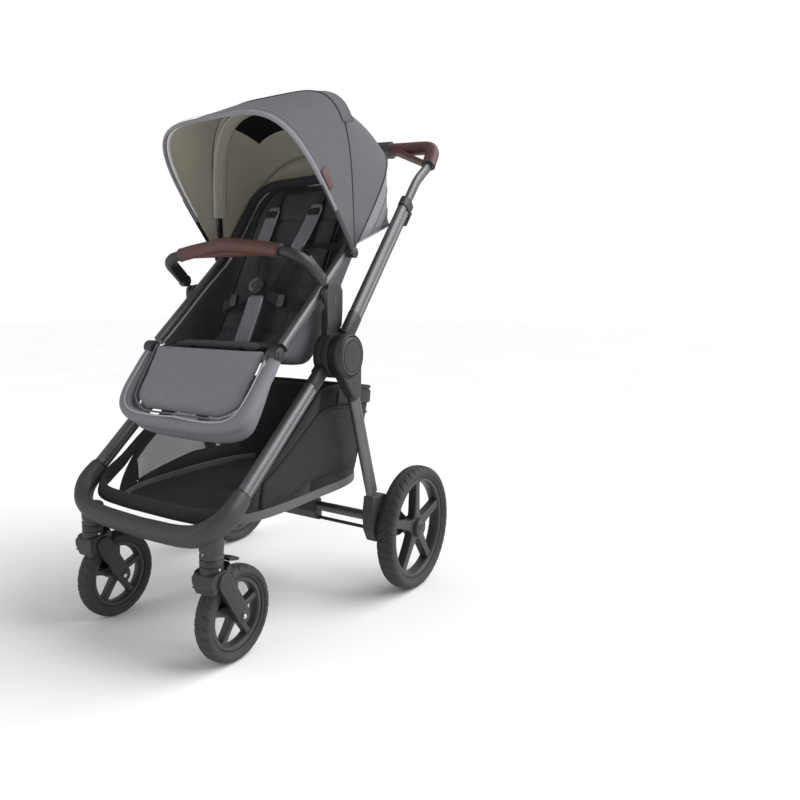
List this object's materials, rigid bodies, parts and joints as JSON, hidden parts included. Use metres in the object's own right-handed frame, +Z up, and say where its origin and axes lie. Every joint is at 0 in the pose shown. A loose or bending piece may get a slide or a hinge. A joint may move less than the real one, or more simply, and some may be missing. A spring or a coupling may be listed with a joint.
{
  "type": "baby stroller",
  "caption": "Folding baby stroller with swivelling front casters, reclining seat, footrest, bumper bar, folding canopy and a shopping basket.",
  "frame": {"origin": "on the floor below the middle of the bounding box", "axes": "+Z up; the stroller faces -Y and the handle is at +Y; +X is the seated child's left"},
  "size_m": [0.607, 0.8558, 1.1434],
  "materials": {
    "satin_grey_aluminium": "satin",
    "black_plastic": "matte",
    "tyre_rubber": "matte",
    "rim_plastic": "satin",
    "brown_leather": "stitched",
    "canopy_fabric": "woven",
    "seat_fabric": "woven",
    "basket_fabric": "woven",
    "footrest_fabric": "woven",
    "strap_pad_fabric": "woven"
  },
  "bodies": {
    "front_frame": {"front_bar": "black_plastic", "basket": "basket_fabric", "front_tube_left": "satin_grey_aluminium", "hub_cap_left": "black_plastic", "seat_mount_left": "black_plastic", "seat_adapter_left": "black_plastic", "front_tube_right": "satin_grey_aluminium", "hub_cap_right": "black_plastic", "seat_mount_right": "black_plastic", "seat_adapter_right": "black_plastic"},
    "handle_frame": {"handle_tube_left": "satin_grey_aluminium", "handle_collar_left": "black_plastic", "handle_tube_right": "satin_grey_aluminium", "handle_collar_right": "black_plastic"},
    "handle": {"handle_bar": "satin_grey_aluminium", "fold_housing": "black_plastic", "grip_left": "brown_leather", "grip_right": "brown_leather"},
    "fold_press": {"fold_button": "rim_plastic"},
    "rear_frame": {"rear_axle_bar": "satin_grey_aluminium", "brake_unit": "black_plastic", "rear_leg_left": "satin_grey_aluminium", "wheel_housing_left": "black_plastic", "rear_leg_right": "satin_grey_aluminium", "wheel_housing_right": "black_plastic"},
    "brake": {"brake_pedal": "black_plastic"},
    "seat": {"seat_frame": "satin_grey_aluminium", "seat_shell": "seat_fabric", "seat_pad": "seat_fabric", "crotch_pad": "strap_pad_fabric", "buckle": "black_plastic", "canopy_rear": "canopy_fabric", "seat_hub_left": "black_plastic", "shoulder_strap_left": "strap_pad_fabric", "seat_hub_right": "black_plastic", "shoulder_strap_right": "strap_pad_fabric"},
    "buckle_press": {"buckle_button": "strap_pad_fabric"},
    "footrest": {"footrest_frame": "footrest_fabric", "footrest_pad": "footrest_fabric"},
    "bumper": {"bumper_bar": "black_plastic", "bumper_cover": "brown_leather"},
    "canopy_hood": {"canopy_front": "canopy_fabric", "canopy_front_bow": "black_plastic"},
    "canopy_rib": {"canopy_middle_bow": "black_plastic"},
    "release_left": {"release_button_left": "rim_plastic"},
    "clamp_left": {"clamp_lever_left": "black_plastic"},
    "caster_left": {"caster_fork_left": "black_plastic"},
    "front_wheel_left": {"front_tyre_left": "tyre_rubber", "front_rim_left": "rim_plastic"},
    "rear_wheel_left": {"rear_tyre_left": "tyre_rubber", "rear_rim_left": "rim_plastic"},
    "swivel_lock_left": {"caster_lock_left": "black_plastic"},
    "release_right": {"release_button_right": "rim_plastic"},
    "clamp_right": {"clamp_lever_right": "black_plastic"},
    "caster_right": {"caster_fork_right": "black_plastic"},
    "front_wheel_right": {"front_tyre_right": "tyre_rubber", "front_rim_right": "rim_plastic"},
    "rear_wheel_right": {"rear_tyre_right": "tyre_rubber", "rear_rim_right": "rim_plastic"},
    "swivel_lock_right": {"caster_lock_right": "black_plastic"}
  },
  "joints": [
    {"name": "frame_fold", "type": "hinge", "parent": "front_frame", "child": "handle_frame", "pos_m": [0, -0.0471, 0.566], "axis": [1, 0, 0], "range_deg": [0, 134]},
    {"name": "leg_fold", "type": "hinge", "parent": "front_frame", "child": "rear_frame", "pos_m": [0, -0.0471, 0.566], "axis": [1, 0, 0], "range_deg": [-46, 0]},
    {"name": "handle_extend", "type": "slide", "parent": "handle_frame", "child": "handle", "axis": [0, 0.6508, 0.7593], "range_m": [-0.05, 0]},
    {"name": "fold_press_travel", "type": "slide", "parent": "handle", "child": "fold_press", "axis": [0, -0.7593, 0.6508], "range_m": [-0.003, 0], "stiffness_N_per_m": 300},
    {"name": "clamp_lever_left_turn", "type": "hinge", "parent": "handle_frame", "child": "clamp_left", "pos_m": [0.2185, 0.26327, 0.88739], "axis": [1, 0, 0], "range_deg": [0, 50]},
    {"name": "clamp_lever_right_turn", "type": "hinge", "parent": "handle_frame", "child": "clamp_right", "pos_m": [-0.2185, 0.26327, 0.88739], "axis": [1, 0, 0], "range_deg": [0, 50]},
    {"name": "brake_pedal_press", "type": "hinge", "parent": "rear_frame", "child": "brake", "pos_m": [0, 0.0954, 0.185], "axis": [1, 0, 0], "range_deg": [-18, 0]},
    {"name": "seat_recline", "type": "hinge", "parent": "front_frame", "child": "seat", "pos_m": [0, -0.0431, 0.694], "axis": [1, 0, 0], "range_deg": [-20, 10]},
    {"name": "footrest_tilt", "type": "hinge", "parent": "seat", "child": "footrest", "pos_m": [0, -0.2041, 0.576], "axis": [1, 0, 0], "range_deg": [-45, 15]},
    {"name": "bumper_swing", "type": "hinge", "parent": "seat", "child": "bumper", "pos_m": [0, -0.0791, 0.726], "axis": [1, 0, 0], "range_deg": [0, 70]},
    {"name": "canopy_fold", "type": "hinge", "parent": "seat", "child": "canopy_hood", "pos_m": [0, 0.0439, 0.785], "axis": [1, 0, 0], "range_deg": [-50, 0]},
    {"name": "canopy_rib_fold", "type": "hinge", "parent": "seat", "child": "canopy_rib", "pos_m": [0, 0.0439, 0.785], "axis": [1, 0, 0], "range_deg": [-26, 0]},
    {"name": "buckle_press_travel", "type": "slide", "parent": "seat", "child": "buckle_press", "axis": [0, -0.848, 0.53], "range_m": [-0.0025, 0], "stiffness_N_per_m": 300},
    {"name": "release_left_travel", "type": "slide", "parent": "front_frame", "child": "release_left", "axis": [1, 0, 0], "range_m": [-0.003, 0], "stiffness_N_per_m": 300},
    {"name": "caster_left_swivel", "type": "hinge", "parent": "front_frame", "child": "caster_left", "pos_m": [0.17, -0.3836, 0.217], "axis": [0, 0, 1], "continuous": true},
    {"name": "front_wheel_left_spin", "type": "hinge", "parent": "caster_left", "child": "front_wheel_left", "pos_m": [0.17, -0.3271, 0.0925], "axis": [1, 0, 0], "continuous": true},
    {"name": "rear_wheel_left_spin", "type": "hinge", "parent": "rear_frame", "child": "rear_wheel_left", "pos_m": [0.281, 0.1899, 0.145], "axis": [1, 0, 0], "continuous": true},
    {"name": "swivel_lock_left_turn", "type": "hinge", "parent": "caster_left", "child": "swivel_lock_left", "pos_m": [0.17, -0.3456, 0.205], "axis": [1, 0, 0], "range_deg": [0, 25]},
    {"name": "release_right_travel", "type": "slide", "parent": "front_frame", "child": "release_right", "axis": [-1, 0, 0], "range_m": [-0.003, 0], "stiffness_N_per_m": 300},
    {"name": "caster_right_swivel", "type": "hinge", "parent": "front_frame", "child": "caster_right", "pos_m": [-0.17, -0.3836, 0.217], "axis": [0, 0, 1], "continuous": true},
    {"name": "front_wheel_right_spin", "type": "hinge", "parent": "caster_right", "child": "front_wheel_right", "pos_m": [-0.17, -0.3271, 0.0925], "axis": [1, 0, 0], "continuous": true},
    {"name": "rear_wheel_right_spin", "type": "hinge", "parent": "rear_frame", "child": "rear_wheel_right", "pos_m": [-0.281, 0.1899, 0.145], "axis": [1, 0, 0], "continuous": true},
    {"name": "swivel_lock_right_turn", "type": "hinge", "parent": "caster_right", "child": "swivel_lock_right", "pos_m": [-0.17, -0.3456, 0.205], "axis": [1, 0, 0], "range_deg": [0, 25]}
  ],
  "couplings": [
    {"joint": "leg_fold", "follows": "frame_fold", "ratio": -0.32},
    {"joint": "canopy_rib_fold", "follows": "canopy_fold", "ratio": 0.5}
  ]
}
